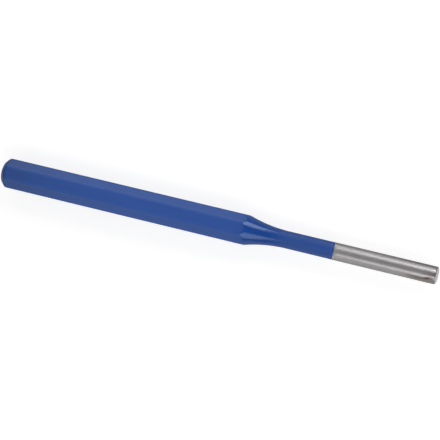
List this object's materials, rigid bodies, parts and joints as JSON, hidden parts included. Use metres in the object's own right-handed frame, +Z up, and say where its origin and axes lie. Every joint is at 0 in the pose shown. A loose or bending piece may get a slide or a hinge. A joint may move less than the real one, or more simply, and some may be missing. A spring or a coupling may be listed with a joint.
{
  "type": "pin punch",
  "caption": "Octagonal pin punch with a chamfered struck end, a hollow waist and a slim ground working pin, lacquered blue up to the bare pin.",
  "frame": {"origin": "middle of the punch's length, on the plane of the flat it lies on, straight below its axis", "axes": "+X along the punch from the struck end to the working tip, +Z up from the flat it lies on, +Y completes a right-handed frame"},
  "size_m": [0.1534, 0.0102, 0.0101],
  "materials": {
    "ground_steel": "satin",
    "blue_lacquer": "gloss"
  },
  "bodies": {
    "root": {"steel_punch": "ground_steel", "lacquer_coat": "blue_lacquer"}
  },
  "joints": []
}
